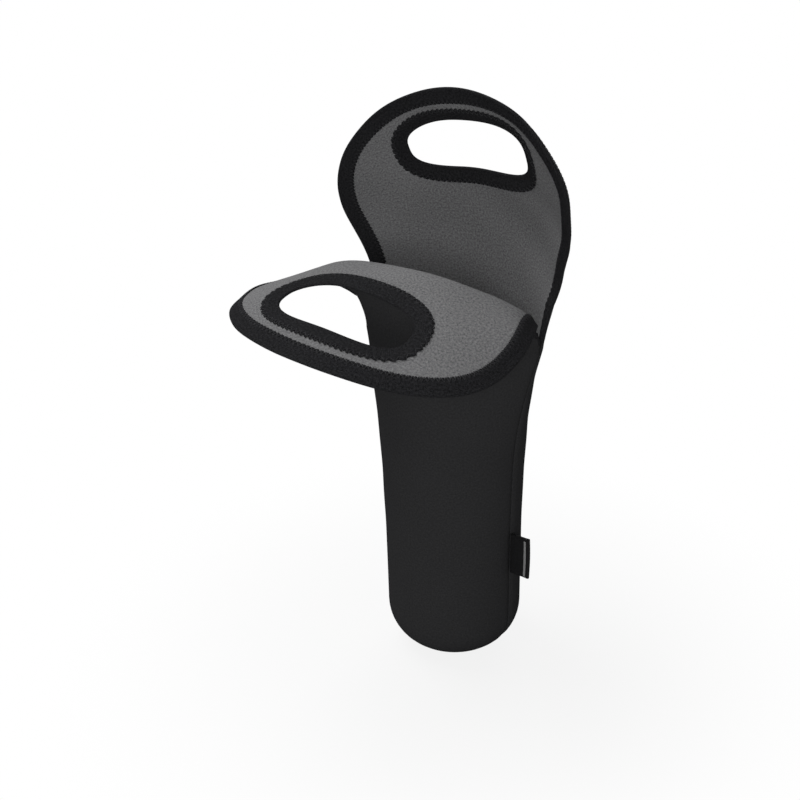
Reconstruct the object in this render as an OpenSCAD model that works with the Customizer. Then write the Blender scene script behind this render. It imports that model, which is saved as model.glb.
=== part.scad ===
// Soft bottle carrier: two foam-backed knit panels sewn along a U-shaped seam.
// Each panel goes on above the sewn tube as a rounded handle flap with a hand hole.
// The front flap is folded outward over the mouth's rim, the back flap stands.
// +Z is up, X runs from side seam to side seam, the folded front flap points to -Y.
// The origin is the middle of the base, on the floor.

/* [Sewn tube] */
// Height of the side seams' top ends above the floor
tube_h = 200; // [185:1:225]
// Half the width of the flat panel at the base
base_half_girth = 61; // [56:0.5:66]
// Half the width of the flat panel at the top of the side seams
mouth_half_girth = 71.5; // [67:0.5:76]
// Height at which the panel starts to widen
taper_start_h = 46; // [40:1:80]
// How late the widening comes, as a power
taper_power = 2.5; // [1.5:0.1:3.5]
// Height over which the round tube turns into the almond-shaped mouth
mouth_ease_h = 72; // [50:1:100]
// Half of the arc that each panel makes at the mouth, in degrees
mouth_half_angle = 69.5; // [62:0.5:80]
// Outer radius of the round corner under the tube
corner_r = 27; // [20:1:32]

/* [Cloth] */
// Thickness of the outer knit
knit_t = 0.4; // [0.3:0.05:0.6]
// Thickness of the foam core
foam_t = 2.4; // [2:0.1:3]
// Thickness of the lining knit
lining_t = 0.4; // [0.3:0.05:0.6]

/* [Handle flaps] */
// Length of a flap above the side seams, along the cloth
flap_len = 138.5; // [130:0.5:152]
// Half the width of a flap at its widest, along the cloth
flap_half_w = 85; // [79:0.5:90]
// Distance above the seams at which the flap starts to widen
swell_start = 17; // [8:1:22]
// Distance above the seams at which the flap is widest
swell_end = 79; // [70:1:84]
// Fullness of the flap's round end, as a power
flap_end_power = 2.3; // [2:0.05:2.6]
// Half the length of the hand hole
hole_half_w = 39.5; // [34:0.5:42]
// Half the height of the hand hole
hole_half_h = 16; // [13:0.5:18]
// Width of the cloth between the hand hole and the flap's end
hole_rim_w = 20.8; // [19:0.1:24]
// Squareness of the hand hole, as a power
hole_power = 2.75; // [2:0.05:3.5]

/* [Lie of the flaps] */
// Outward lean of the back flap just above the mouth, in degrees
back_lean = 11; // [6:0.5:16]
// Outward lean of the front flap just above the mouth, in degrees
front_lean = 7.7; // [3:0.1:12]
// Distance above the mouth over which those leans build up
lean_len = 16; // [12:1:24]
// Inward curl of the back flap at its end, in degrees
back_curl = 41.4; // [30:0.1:45]
// Inward curl of the front flap at its end, in degrees
front_curl = 28.2; // [22:0.1:36]
// Radius of the back flap's hollow across its end
back_end_r = 95; // [88:1:120]
// Radius of the front flap's arch across its end
front_end_r = 158; // [140:1:180]
// How soon the back flap opens out above the mouth, as a power
back_open_power = 3.1; // [2.5:0.1:3.5]
// How soon the front flap opens out above the mouth, as a power
front_open_power = 4.4; // [3.5:0.1:5]
// Sideways lean of the back flap, in degrees
back_tilt = 3; // [0:0.1:6]
// Roll of the front flap about its length, in degrees
front_roll = 6; // [0:0.1:9]
// Height of the front flap's fold above the side seams
fold_h = 49.3; // [46:0.1:53]
// Half the angle through which the front flap is folded, in degrees
fold_half_angle = 44; // [42:0.5:47]
// Bend radius of the fold at the middle of the cloth
fold_r = 10; // [8:0.5:11]
// Distance of the bend's end above the side seams, at the middle of a flap
bend_end_mid = 66; // [64:0.5:70]
// Distance of the bend's end above the side seams, at a flap's edges
bend_end_side = 44; // [40:0.5:50]

/* [Bindings and stitching] */
// Width of the binding on each face
bind_w = 8.2; // [6:0.1:9]
// Thickness of the binding tape
bind_t = 0.5; // [0.4:0.05:0.7]
// Gap between the binding and the cloth it wraps
bind_gap = 0.1; // [0.05:0.01:0.15]
// Slack under the tape where the cloth bends
bend_bind_gap = 0.3; // [0.15:0.01:0.4]
// Distance above the side seams at which the edge binding starts
bind_start = 9; // [8:0.5:12]
// Spacing of the stitches
stitch_pitch = 5.4; // [4.5:0.1:8]
// Length of one stitch
stitch_len = 3.2; // [2.5:0.1:3.8]
// Thickness of the thread
thread_t = 0.4; // [0.3:0.05:0.5]
// Distance of the stitch line from the binding's inner border
stitch_inset = 2; // [1.5:0.1:3]

/* [Side label] */
// Height of the label
label_h = 26; // [20:1:34]
// How far the label stands out of the seam
label_out = 12.3; // [8:0.1:18]
// Thickness of the label's ribbon
label_t = 0.5; // [0.3:0.05:0.8]
// Inner width of the label's folded loop
label_loop = 0.4; // [0.3:0.05:1]
// Height of the label's lower edge above the floor
label_up = 59; // [48:0.5:80]

/* [Hidden] */
$fn = 64;
// Distances of the cloth's faces from the middle of its foam
foam_h = foam_t / 2;
knit_h = foam_h + knit_t;
lining_h = foam_h + lining_t;
// Gap in each cloth layer at the start of a bend and at its end
bend_gap = 0.4;
// Clearance of the thread from the cloth and tape that it is drawn down on
thread_gap = 0.4;
// Clearance of the label from the seam that holds it
label_gap = 0.1;
// Lowest and highest stitches of the seam, from the mouth
seam_inset = 6;
// Step for slopes and surface directions
slope_step = 0.05;
// Step of a flap edge's own parameter, and the share of a base point in the ring inside it
edge_step_share = 0.05;
base_share = 0.8;
// Height over which the back flap's sideways lean builds up
tilt_len = 40;
// Way past the fold over which the front flap's roll builds up
roll_len = 60;
// Shares of their full opening rates with which the back and the front flap start at the mouth
back_open_share = 0.45;
front_open_share = 0;
// Distances over which the rest of those rates builds up
back_open_ease = 12;
front_open_ease = 46;
// Share of a flap's half width over which the bend's end rises from the edge to the middle
bend_rise_share = 0.7;

// Steps of the cloth's grids: across a panel, round its corner, up its wall, up its mouth
across_n = 18;
corner_n = 7;
wall_n = 3;
mouth_n = 6;
// Steps over the front fold and up the back bend
fold_n = 16;
bend_n = 8;
// Steps of a handle's grid: up each side and round the end
side_n = 6;
end_n = 24;
// Steps along an edge when its length is measured
measure_n = 160;

knit_black = [0.13, 0.13, 0.135];
foam_black = [0.07, 0.07, 0.07];
lining_grey = [0.52, 0.52, 0.52];
tape_black = [0.16, 0.16, 0.165];
thread_black = [0.24, 0.24, 0.24];
ribbon_black = [0.2, 0.2, 0.2];

FRONT = true;
BACK = false;

function clamp01(t) = max(0, min(1, t));
function ease(t) = let (c = clamp01(t)) c * c * (3 - 2 * c);
function power(x, p) = sign(x) * pow(abs(x), p);
function unit(v) = v / norm(v);
// Arc radius that turns from one angle to another over a length
function turn_r(len, from, to) = len / (to - from) * 180 / PI;

// Half the width of a panel in the sewn tube, where s is the distance above the side seams' tops
function sewn_w(s) = base_half_girth + (mouth_half_girth - base_half_girth)
    * pow(clamp01((tube_h + s - taper_start_h) / (tube_h - taper_start_h)), taper_power);
// Half the arc that a panel makes: a quarter turn low down, less at the almond-shaped mouth
function half_arc(s) = let (t = clamp01(1 + s / mouth_ease_h))
    90 - (90 - mouth_half_angle) * t * t * (3 - t) / 2;
function tube_r(s) = sewn_w(s) / half_arc(s) * 180 / PI;
function tube_depth(s) = tube_r(s) * (1 - cos(half_arc(s)));
mouth_r = tube_r(0);
mouth_depth = tube_depth(0);
lean_start = atan((mouth_depth - tube_depth(-slope_step)) / slope_step);

// Half the width of a flap, along the cloth
function flap_w(s) = s < swell_end
    ? mouth_half_girth + (flap_half_w - mouth_half_girth) * ease((s - swell_start) / (swell_end - swell_start))
    : flap_half_w * pow(clamp01(1 - pow((s - swell_end) / (flap_len - swell_end), flap_end_power)),
        1 / flap_end_power);

// Lean of an upright flap from the vertical, outward counted positive
function mouth_lean(front) = front ? front_lean : back_lean;
function curl(front) = front ? front_curl : back_curl;
function lean(s, front) = s < lean_len
    ? lean_start + (mouth_lean(front) - lean_start) * s / lean_len
    : mouth_lean(front) - (mouth_lean(front) + curl(front)) * (s - lean_len) / (flap_len - lean_len);
// Way outward and way up along the two arcs of that lean
function way(s, front) = let (
    m = mouth_lean(front),
    r1 = turn_r(lean_len, lean_start, m),
    r2 = turn_r(flap_len - lean_len, m, -curl(front)),
    a = lean(s, front),
    a1 = s < lean_len ? a : m,
    a2 = s < lean_len ? m : a)
    [r1 * (cos(lean_start) - cos(a1)) + r2 * (cos(m) - cos(a2)),
     r1 * (sin(a1) - sin(lean_start)) + r2 * (sin(a2) - sin(m))];

// Radius of a flap's hollow across it, which opens out from the mouth's to the end's
function open_way(s, front) = let (
    share = front ? front_open_share : back_open_share,
    len = front ? front_open_ease : back_open_ease)
    share * s + (1 - share) * (s < len ? s * s / (2 * len) : s - len / 2);
function flap_r(s, front) = let (
    end_r = front ? front_end_r : back_end_r,
    left = clamp01(1 - open_way(s, front) / open_way(flap_len, front)))
    end_r - (end_r - mouth_r) * pow(left, front ? front_open_power : back_open_power);

// Middle of the cloth of an upright flap: u across and s up the cloth, outward along +Y
function upright(u, s, front) = let (
    r = flap_r(s, front),
    q = u / r * 180 / PI,
    drop = r * (1 - cos(q)),
    a = lean(s, front) - lean_start * (1 - ease(s / (2 * lean_len))),
    w = way(s, front))
    [r * sin(q), mouth_depth + w[0] - drop * cos(a), tube_h + w[1] + drop * sin(a)];

// The back flap leans a little to one side
function tilted(p) = let (z = p[2] - tube_h, a = back_tilt * ease(z / tilt_len))
    [p[0] * cos(a) - z * sin(a), p[1], p[0] * sin(a) + z * cos(a) + tube_h];

// The front flap is an upright one mirrored in a sloping plane, with a round bend at the plane
fold_dir = [0, sin(fold_half_angle), cos(fold_half_angle)];
fold_at = [0, -mouth_depth, tube_h + fold_h];
function folded(p, s) = let (
    v = [p[0], -p[1], p[2]],
    d = (v - fold_at) * fold_dir,
    g = d > fold_r ? 2 * d : d < -fold_r ? 0 : pow(d + fold_r, 2) / (2 * fold_r),
    w = v - g * ease(s / lean_len) * fold_dir,
    a = front_roll * ease(-(w[1] + mouth_depth) / roll_len),
    z = w[2] - fold_at[2])
    [w[0] * cos(a) + z * sin(a), w[1], z * cos(a) - w[0] * sin(a) + fold_at[2]];

function flap_mid(u, s, front) = let (p = upright(u, s, front)) front ? folded(p, s) : tilted(p);
// A point h outward from a flap's middle
function on_flap(u, s, h, front) = let (
    du = flap_mid(u + slope_step, s, front) - flap_mid(u - slope_step, s, front),
    ds = flap_mid(u, s + slope_step, front) - flap_mid(u, s - slope_step, front))
    flap_mid(u, s, front) + (front ? h : -h) * unit(cross(du, ds));

// A point of the sewn tube, h outward, with f from -1 to 1 between the seams, which lie at y = 0
function on_tube(f, s, h, front) = let (
    r = tube_r(s) + h,
    middle = tube_depth(s) - tube_r(s),
    q = acos(-middle / r) * f)
    [r * sin(q), (front ? -1 : 1) * (middle + r * cos(q)), tube_h + s];

// Where a bend ends and its handle starts
function bend_end(f) = bend_end_side
    + (bend_end_mid - bend_end_side) * ease((1 - abs(f)) / bend_rise_share);
function in_panel(p, s, front) = s < lean_len ? [p[0], front ? min(p[1], 0) : max(p[1], 0), p[2]] : p;

// Edge of a handle in the flat cloth: up the right side, round the end and down the left side
function flap_end(a) = [flap_half_w * power(cos(a), 2 / flap_end_power),
    swell_end + (flap_len - swell_end) * power(sin(a), 2 / flap_end_power)];
function edge(v) = v > 2 ? let (p = edge(4 - v)) [-p[0], p[1]]
    : v > 1 ? flap_end(90 * (v - 1))
    : let (s = bend_end_side + bend_gap + (swell_end - bend_end_side - bend_gap) * v) [flap_w(s), s];
function edge_in(v) = let (e = edge_step_share, t = unit(edge(min(4, v + e)) - edge(max(0, v - e)))) [-t[1], t[0]];
edge_marks = concat(
    [for (k = [0 : side_n - 1]) k / side_n],
    [for (k = [0 : end_n - 1]) 1 + 2 * k / end_n],
    [for (k = [0 : side_n]) 3 + k / side_n]);
handle_base = [for (k = [1 : across_n - 1])
    let (f = 2 * k / across_n - 1, s = bend_end(f) + bend_gap) [f * flap_w(s), s]];
handle_outline = concat(handle_base, [for (v = edge_marks) edge(v)]);

// Edge of a hand hole, in the direction a from its middle, and the way from there into the cloth
hole_up = flap_len - hole_rim_w - hole_half_h;
function hole_edge(a) = [0, hole_up] + [cos(a), sin(a)] * pow(pow(abs(cos(a)) / hole_half_w, hole_power)
    + pow(abs(sin(a)) / hole_half_h, hole_power), -1 / hole_power);
function hole_in(a) = let (p = hole_edge(a) - [0, hole_up])
    unit([power(p[0] / hole_half_w, hole_power - 1) / hole_half_w,
        power(p[1] / hole_half_h, hole_power - 1) / hole_half_h]);
hole_marks = [for (p = handle_outline) atan2(p[1] - hole_up, p[0])];

// Rings of flat points from the outline to the hole, two of them at the inner borders of the tapes
hole_outline = [for (a = hole_marks) hole_edge(a)];
hole_border = [for (a = hole_marks) hole_edge(a) + bind_w * hole_in(a)];
edge_border = concat(
    [for (k = [0 : len(handle_base) - 1]) base_share * handle_base[k] + (1 - base_share) * hole_border[k]],
    [for (v = edge_marks) edge(v) + bind_w * edge_in(v)]);
handle_rings = [handle_outline, edge_border, (edge_border + hole_border) / 2, hole_border, hole_outline];

// Two faces of a quad, turned over for the back panel, whose grids are mirrored
function quad(a, b, c, d, front) = front ? [[a, b, c], [a, c, d]] : [[a, c, b], [a, d, c]];

// Solid between two grids of points. The columns of a ring close on themselves. The quads of the
// right half are split the other way, so that none of their halves is flat where a grid's side is straight
module layer(outer, inner, front, ring = false) {
    rows = len(outer) - 1;
    n = len(outer[0]);
    cols = ring ? n : n - 1;
    m = (rows + 1) * n;
    function at(i, j) = i * n + j % n;
    polyhedron(concat([for (row = outer) each row], [for (row = inner) each row]), concat(
        [for (i = [0 : rows - 1]) for (j = [0 : cols - 1])
            let (a = at(i, j), b = at(i + 1, j), c = at(i + 1, j + 1), d = at(i, j + 1)) each concat(
                2 * j < cols ? quad(a, b, c, d, front) : quad(b, c, d, a, front),
                2 * j < cols ? quad(m + a, m + d, m + c, m + b, front) : quad(m + d, m + c, m + b, m + a, front))],
        [for (j = [0 : cols - 1]) each concat(
            quad(at(0, j), at(0, j + 1), m + at(0, j + 1), m + at(0, j), front),
            quad(at(rows, j + 1), at(rows, j), m + at(rows, j), m + at(rows, j + 1), front))],
        [if (!ring) for (i = [0 : rows - 1]) each concat(
            quad(at(i + 1, 0), at(i, 0), m + at(i, 0), m + at(i + 1, 0), front),
            quad(at(i, cols), at(i + 1, cols), m + at(i + 1, cols), m + at(i, cols), front))]));
}

// A point of the round corner under the tube, at the angle a up from the base
corner_mid_r = corner_r - knit_h;
base_flat_r = tube_r(corner_r - tube_h) - corner_mid_r;
function on_corner(f, a, h, front) = let (r = base_flat_r + (corner_mid_r + h) * sin(a))
    [r * sin(90 * f), (front ? -r : r) * cos(90 * f), corner_r - (corner_mid_r + h) * cos(a)];

// One layer of a panel's sewn part: half the flat base, its corner, the wall and the mouth
wall_heights = concat(
    [for (k = [0 : wall_n - 1]) taper_start_h + (tube_h - mouth_ease_h - taper_start_h) * k / wall_n],
    [for (k = [0 : mouth_n]) tube_h - mouth_ease_h * (1 - k / mouth_n)]);
function sewn_grid(h, front) = let (across = [for (j = [0 : across_n]) 2 * j / across_n - 1]) concat(
    [[for (f = across) [base_flat_r / 2 * f, 0, knit_h - h]]],
    [for (k = [0 : corner_n]) [for (f = across) on_corner(f, 90 * k / corner_n, h, front)]],
    [for (z = wall_heights) [for (f = across) on_tube(f, z - tube_h, h, front)]]);

module sewn_part(inner_h, outer_h, front) {
    layer(sewn_grid(outer_h, front), sewn_grid(inner_h, front), front);
}

// One layer of the cloth that bends above the mouth
function bend_grid(h, front) = let (n = front ? fold_n : bend_n)
    [for (i = [0 : n]) [for (j = [0 : across_n])
        let (f = 2 * j / across_n - 1, s = bend_gap + (bend_end(f) - bend_gap) * i / n)
        in_panel(on_flap(f * flap_w(s), s, h, front), s, front)]];

module bend_part(inner_h, outer_h, front) {
    layer(bend_grid(outer_h, front), bend_grid(inner_h, front), front);
}

// One layer of a handle: a ring of cloth round the hand hole
function handle_grid(h, front) = [for (points = handle_rings) [for (p = points)
    on_flap(p[0], p[1], h, front)]];

module handle_part(inner_h, outer_h, front) {
    layer(handle_grid(outer_h, front), handle_grid(inner_h, front), front, ring = true);
}

// Folded tape round a cloth edge, at the point p of the flat cloth with the way into it
function tape_section(gap) = let (out = gap + bind_t) [
    [bind_w, knit_h + gap], [bind_w, knit_h + out], [-out, knit_h + out], [-out, -lining_h - out],
    [bind_w, -lining_h - out], [bind_w, -lining_h - gap], [-gap, -lining_h - gap], [-gap, knit_h + gap]
];
function tape_ring(p, way_in, front, gap = bind_gap) = [for (c = tape_section(gap))
    let (q = p + c[0] * way_in) on_flap(q[0], q[1], c[1], front)];

module tape(rings, front, closed = false) {
    n = len(rings[0]);
    last = len(rings) - 1;
    function at(k, j) = (k % len(rings)) * n + j % n;
    // Two of the faces are split the other way, as the cloth under them is
    function face(a, b, c, d, turned) = turned ? quad(b, c, d, a, front) : quad(a, b, c, d, front);
    function cap(k, near) = [for (c = [[0, 1, 2, 7], [7, 2, 3, 6], [6, 3, 4, 5]])
        each quad(at(k, c[0]), at(k, c[1]), at(k, c[2]), at(k, c[3]), near)];
    polyhedron([for (r = rings) each r], concat(
        [for (k = [0 : closed ? last : last - 1]) for (j = [0 : n - 1]) each
            face(at(k, j), at(k + 1, j), at(k + 1, j + 1), at(k, j + 1), j == 1 || j == 5 || j == 6)],
        closed ? [] : cap(0, front),
        closed ? [] : cap(last, !front)));
}

module edge_tape(front) {
    tape([for (v = edge_marks) tape_ring(edge(v), edge_in(v), front)], front);
}

// The hole's edge is followed clockwise, so that the cloth lies on the same hand
module hole_tape(front) {
    tape([for (j = [len(hole_marks) - 1 : -1 : 0])
        tape_ring(hole_edge(hole_marks[j]), hole_in(hole_marks[j]), front)], front, closed = true);
}

// Tape along both side edges of a bend
module bend_tape(front) {
    n = front ? fold_n : bend_n;
    rows = [for (i = [1 : n]) let (s = bend_gap + (bend_end_side - bend_gap) * i / n) if (s > bind_start) s];
    function side_in(s, side) = let (d = flap_w(s + slope_step) - flap_w(s - slope_step))
        unit([-side * 2 * slope_step, d]);
    tape([for (s = rows) tape_ring([flap_w(s), s], side_in(s, 1), front, bend_bind_gap)], front);
    tape([for (s = rows) tape_ring([-flap_w(s), s], side_in(s, -1), front, bend_bind_gap)], !front);
}

// One stitch across a seam or a tape's border, its middle at p, along x and standing off along z
module stitch(p, along, off) {
    z = unit(off);
    x = unit(along - (along * z) * z);
    y = cross(z, x);
    multmatrix([[x[0], y[0], z[0], p[0]], [x[1], y[1], z[1], p[1]], [x[2], y[2], z[2], p[2]], [0, 0, 0, 1]])
        translate([-stitch_len / 2, -thread_t / 2, 0])
            cube([stitch_len, thread_t, thread_t]);
}

// A stitch on the lining side of a tape whose edge is at p
module tape_stitch(p, way_in, front) {
    h = -lining_h - bind_gap - bind_t - thread_gap;
    q = p + (bind_w - stitch_inset) * way_in;
    r = q + slope_step * way_in;
    at = on_flap(q[0], q[1], h, front);
    stitch(at, on_flap(r[0], r[1], h, front) - at, at - flap_mid(q[0], q[1], front));
}

// Table of distance along a flat edge against the edge's own parameter
function measured(points, marks) = [for (i = 0, d = 0; i < len(points);
    d = d + (i + 1 < len(points) ? norm(points[i + 1] - points[i]) : 0), i = i + 1) [d, marks[i]]];
function spaced(table) = let (length = table[len(table) - 1][0], n = floor(length / stitch_pitch))
    [for (k = [0 : n - 1]) lookup(length * (k + 0.5) / n, table)];

module edge_stitches(front) {
    marks = [for (k = [0 : measure_n]) 4 * k / measure_n];
    for (v = spaced(measured([for (v = marks) edge(v)], marks)))
        tape_stitch(edge(v), edge_in(v), front);
}

module hole_stitches(front) {
    marks = [for (k = [0 : measure_n]) 360 * k / measure_n];
    for (a = spaced(measured([for (a = marks) hole_edge(a)], marks)))
        tape_stitch(hole_edge(a), hole_in(a), front);
}

// Stitches inside the U-shaped seam: across the base, round its corners and up both side seams
corner_in_r = corner_mid_r - lining_h - thread_gap;
corner_len = corner_in_r * PI / 2;
wall_len = tube_h - corner_r - seam_inset;
seam_half_len = base_flat_r + corner_len + wall_len;
function seam_x(z) = let (s = z - thread_t / 2 - tube_h, r = tube_r(s) - lining_h,
    middle = tube_depth(s) - tube_r(s))
    sqrt(r * r - pow(stitch_len / 2 - middle, 2)) - thread_gap;
function seam_point(d) = d < base_flat_r ? [d, 0, knit_h + lining_h + thread_gap]
    : d < base_flat_r + corner_len ? let (a = (d - base_flat_r) / corner_in_r * 180 / PI)
        [base_flat_r + corner_in_r * sin(a), 0, corner_r - corner_in_r * cos(a)]
    : let (z = corner_r + d - base_flat_r - corner_len) [seam_x(z), 0, z];
function seam_off(d) = d < base_flat_r ? 0 : min(90, (d - base_flat_r) / corner_in_r * 180 / PI);

module seam_stitches() {
    n = floor(seam_half_len / stitch_pitch);
    for (side = [0, 1], k = [0 : n - 1]) {
        d = seam_half_len * (k + 0.5) / n;
        mirror([side, 0, 0])
            stitch(seam_point(d), [0, 1, 0], [-sin(seam_off(d)), 0, cos(seam_off(d))]);
    }
}

// A ribbon folded into a loop, which stands out of the right seam
module folded_label() {
    bend_r = label_t + label_loop / 2;
    start = tube_r(label_up + label_h - tube_h) + knit_h + label_gap;
    translate([start, 0, label_up])
        linear_extrude(label_h)
            difference() {
                union() {
                    translate([0, -bend_r])
                        square([label_out - bend_r, 2 * bend_r]);
                    translate([label_out - bend_r, 0])
                        circle(bend_r);
                }
                translate([-label_gap, -label_loop / 2])
                    square([label_out - bend_r + label_gap, label_loop]);
                translate([label_out - bend_r, 0])
                    circle(label_loop / 2);
            }
}

module front_body_knit() color(knit_black) sewn_part(foam_h, knit_h, FRONT);
module front_body_foam() color(foam_black) sewn_part(-foam_h, foam_h, FRONT);
module front_body_lining() color(lining_grey) sewn_part(-lining_h, -foam_h, FRONT);
module front_fold_knit() color(knit_black) bend_part(foam_h, knit_h, FRONT);
module front_fold_foam() color(foam_black) bend_part(-foam_h, foam_h, FRONT);
module front_fold_lining() color(lining_grey) bend_part(-lining_h, -foam_h, FRONT);
module front_handle_knit() color(knit_black) handle_part(foam_h, knit_h, FRONT);
module front_handle_foam() color(foam_black) handle_part(-foam_h, foam_h, FRONT);
module front_handle_lining() color(lining_grey) handle_part(-lining_h, -foam_h, FRONT);
module front_fold_binding() color(tape_black) bend_tape(FRONT);
module front_edge_binding() color(tape_black) edge_tape(FRONT);
module front_hole_binding() color(tape_black) hole_tape(FRONT);
module front_edge_thread() color(thread_black) edge_stitches(FRONT);
module front_hole_thread() color(thread_black) hole_stitches(FRONT);
module back_body_knit() color(knit_black) sewn_part(foam_h, knit_h, BACK);
module back_body_foam() color(foam_black) sewn_part(-foam_h, foam_h, BACK);
module back_body_lining() color(lining_grey) sewn_part(-lining_h, -foam_h, BACK);
module back_bend_knit() color(knit_black) bend_part(foam_h, knit_h, BACK);
module back_bend_foam() color(foam_black) bend_part(-foam_h, foam_h, BACK);
module back_bend_lining() color(lining_grey) bend_part(-lining_h, -foam_h, BACK);
module back_handle_knit() color(knit_black) handle_part(foam_h, knit_h, BACK);
module back_handle_foam() color(foam_black) handle_part(-foam_h, foam_h, BACK);
module back_handle_lining() color(lining_grey) handle_part(-lining_h, -foam_h, BACK);
module back_bend_binding() color(tape_black) bend_tape(BACK);
module back_edge_binding() color(tape_black) edge_tape(BACK);
module back_hole_binding() color(tape_black) hole_tape(BACK);
module back_edge_thread() color(thread_black) edge_stitches(BACK);
module back_hole_thread() color(thread_black) hole_stitches(BACK);
module seam_thread() color(thread_black) seam_stitches();
module side_label() color(ribbon_black) folded_label();

front_body_knit();
front_body_foam();
front_body_lining();
front_fold_knit();
front_fold_foam();
front_fold_lining();
front_handle_knit();
front_handle_foam();
front_handle_lining();
front_fold_binding();
front_edge_binding();
front_hole_binding();
front_edge_thread();
front_hole_thread();
back_body_knit();
back_body_foam();
back_body_lining();
back_bend_knit();
back_bend_foam();
back_bend_lining();
back_handle_knit();
back_handle_foam();
back_handle_lining();
back_bend_binding();
back_edge_binding();
back_hole_binding();
back_edge_thread();
back_hole_thread();
seam_thread();
side_label();
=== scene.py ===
"""A soft one-bottle carrier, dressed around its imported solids.

Each panel is one piece of foam-backed knit. A place on it is given by u, the girth from its middle
line, s, the distance above the side seams' tops, and h, the way outward from the middle of its foam.
f is u as a share of half the panel's width, from -1 to 1. front is True for the front panel and False
for the back one. Lengths are in millimetres until a mesh is made, and angles are in radians.
"""
import math
import bpy
import bmesh
import numpy as np
from mathutils import Matrix, Vector


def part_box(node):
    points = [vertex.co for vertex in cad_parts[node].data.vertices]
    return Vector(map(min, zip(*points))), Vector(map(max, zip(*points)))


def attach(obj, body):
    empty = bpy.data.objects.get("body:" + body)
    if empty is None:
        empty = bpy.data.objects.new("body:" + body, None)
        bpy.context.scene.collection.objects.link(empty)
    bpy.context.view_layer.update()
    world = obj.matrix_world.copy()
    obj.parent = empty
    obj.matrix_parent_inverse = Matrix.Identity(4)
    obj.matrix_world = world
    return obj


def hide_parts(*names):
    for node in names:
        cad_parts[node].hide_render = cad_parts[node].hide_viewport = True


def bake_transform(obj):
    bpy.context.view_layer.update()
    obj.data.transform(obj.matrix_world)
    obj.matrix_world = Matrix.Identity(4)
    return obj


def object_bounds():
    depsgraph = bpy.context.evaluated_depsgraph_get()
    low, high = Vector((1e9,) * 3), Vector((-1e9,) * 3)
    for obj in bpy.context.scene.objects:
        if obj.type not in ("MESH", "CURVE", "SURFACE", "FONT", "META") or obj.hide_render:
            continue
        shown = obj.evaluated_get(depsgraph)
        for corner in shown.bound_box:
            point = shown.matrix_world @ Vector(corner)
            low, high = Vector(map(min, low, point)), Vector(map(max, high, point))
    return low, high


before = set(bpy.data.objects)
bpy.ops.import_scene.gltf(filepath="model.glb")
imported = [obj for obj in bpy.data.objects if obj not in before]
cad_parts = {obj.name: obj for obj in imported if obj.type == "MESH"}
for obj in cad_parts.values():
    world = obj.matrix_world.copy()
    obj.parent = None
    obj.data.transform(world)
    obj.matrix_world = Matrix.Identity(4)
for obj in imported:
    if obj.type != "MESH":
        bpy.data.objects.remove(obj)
cad_low, cad_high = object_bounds()

MM = 0.001
BODY = "carrier_body"
SIDES = {True: "front", False: "back"}
BENDS = {True: "fold", False: "bend"}

# The sewn tube: its height, and half a panel's width low down and at the mouth
TUBE_H, BASE_HALF_GIRTH, MOUTH_HALF_GIRTH = 200.0, 61.0, 71.5
# It widens above this height, as this power of the rest of the way up
TAPER_START_H, TAPER_POWER = 46.0, 2.5
# Below the mouth its round section flattens to an almond, over this height and to this half angle
MOUTH_EASE_H, MOUTH_HALF_ANGLE = 72.0, math.radians(69.5)
# The round corner between base and wall, at the outside
CORNER_R = 27.0

# The cloth's three layers, and how far its faces are from the middle of the foam
KNIT_T, FOAM_T, LINING_T = 0.4, 2.4, 0.4
FOAM_H = FOAM_T / 2
KNIT_H, LINING_H = FOAM_H + KNIT_T, FOAM_H + LINING_T

# A flap in the flat cloth: it swells between two heights and ends in half a superellipse
FLAP_LEN, FLAP_HALF_W, FLAP_END_POWER = 138.5, 85.0, 2.3
SWELL_START, SWELL_END = 17.0, 79.0
# Its hand hole, a superellipse whose middle is this far up
HOLE_HALF_W, HOLE_HALF_H, HOLE_UP, HOLE_POWER = 39.5, 16.0, 101.7, 2.75
# Where its bend ends and its handle begins: highest at the middle, and down over this share of the width
BEND_END_MID, BEND_END_SIDE, BEND_RISE_SHARE = 66.0, 44.0, 0.7

# How a flap leans: the way up to its lean at the mouth, that lean, and the curl inward at its end
LEAN_LEN = 16.0
MOUTH_LEAN = {True: math.radians(7.7), False: math.radians(11)}
CURL = {True: math.radians(28.2), False: math.radians(41.4)}
# How it opens out: the radius across its end, the power of the growth to it, the share of the opening
# that starts at once, and the way over which the rest sets in
END_R = {True: 158.0, False: 95.0}
OPEN_POWER = {True: 4.4, False: 3.1}
OPEN_START_SHARE = {True: 0.0, False: 0.45}
OPEN_EASE = {True: 46.0, False: 12.0}
# The back flap tilts sideways, and that sets in over a height
BACK_TILT, TILT_LEN = math.radians(3), 40.0
# The front flap is folded down: the fold's height, the slope of its plane and its inner radius
FOLD_H, FOLD_HALF_ANGLE, FOLD_R = 49.3, math.radians(44), 10.0
# Past the fold it rolls sideways, and that sets in over a way forward
FRONT_ROLL, ROLL_LEN = math.radians(6), 60.0

# The binding tape: the width on each face, its thickness, the gap under it and its start above the mouth
BIND_W, BIND_T, BIND_GAP, BIND_START = 8.2, 0.5, 0.1, 4.0
# Its round edge starts this far in from the cloth's edge and stands this far past the tape's thickness
TAPE_ROUND_IN, TAPE_ROUND_SPARE = 0.4, 0.15
# Its faces swell by this much, as half a sine wave of this power of the way from its border to its edge
TAPE_SWELL, TAPE_SWELL_POWER = 0.3, 0.7
# The stitches scallop its border by SCALLOP and press it down by PRESS, from this share of its width on
SCALLOP, PRESS, BORDER_FROM = 0.45, 0.32, 0.55
# Each open end thins to a share of its thickness over a way
TAPE_END_SHARE, TAPE_RUN_IN = 0.15, 14.0
# The front tape is caught in the seam, so that little of its width shows there
END_WIDTH_SHARE, WIDEN_LEN = 0.2, 50.0

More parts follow.
